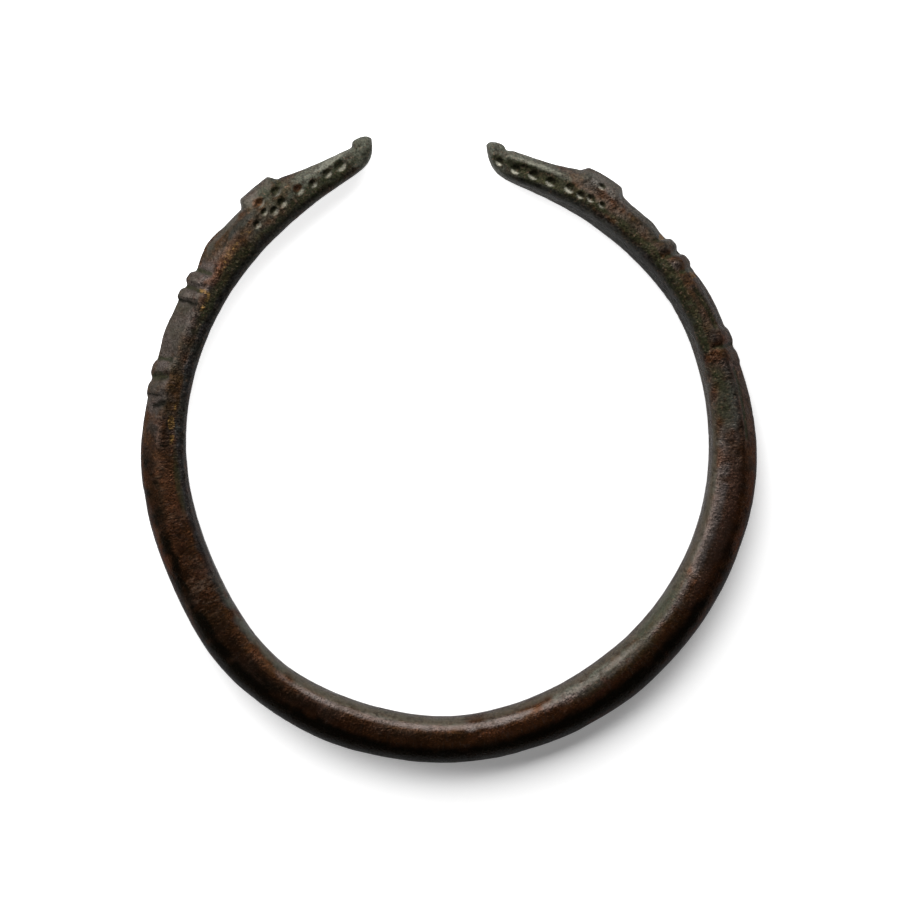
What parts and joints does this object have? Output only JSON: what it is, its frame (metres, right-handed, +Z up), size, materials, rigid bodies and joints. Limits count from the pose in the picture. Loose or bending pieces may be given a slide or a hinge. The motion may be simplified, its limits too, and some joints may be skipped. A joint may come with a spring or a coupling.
{
  "type": "bronze bracelet",
  "caption": "Open cast bronze bracelet of rounded bar, with long-snouted animal heads facing each other across its mouth and pairs of ribs behind them.",
  "frame": {"origin": "middle of the bounding box, at the level the bracelet lies on", "axes": "+Z up, square to the hoop's plane; +Y from the back of the hoop towards its open mouth; +X towards the right arm"},
  "size_m": [0.072, 0.0736, 0.0054],
  "materials": {
    "bronze": "cast bronze worn smooth, dark brown to olive patina with golden wear on the raised edges"
  },
  "bodies": {
    "root": {"bracelet": "bronze"}
  },
  "joints": []
}
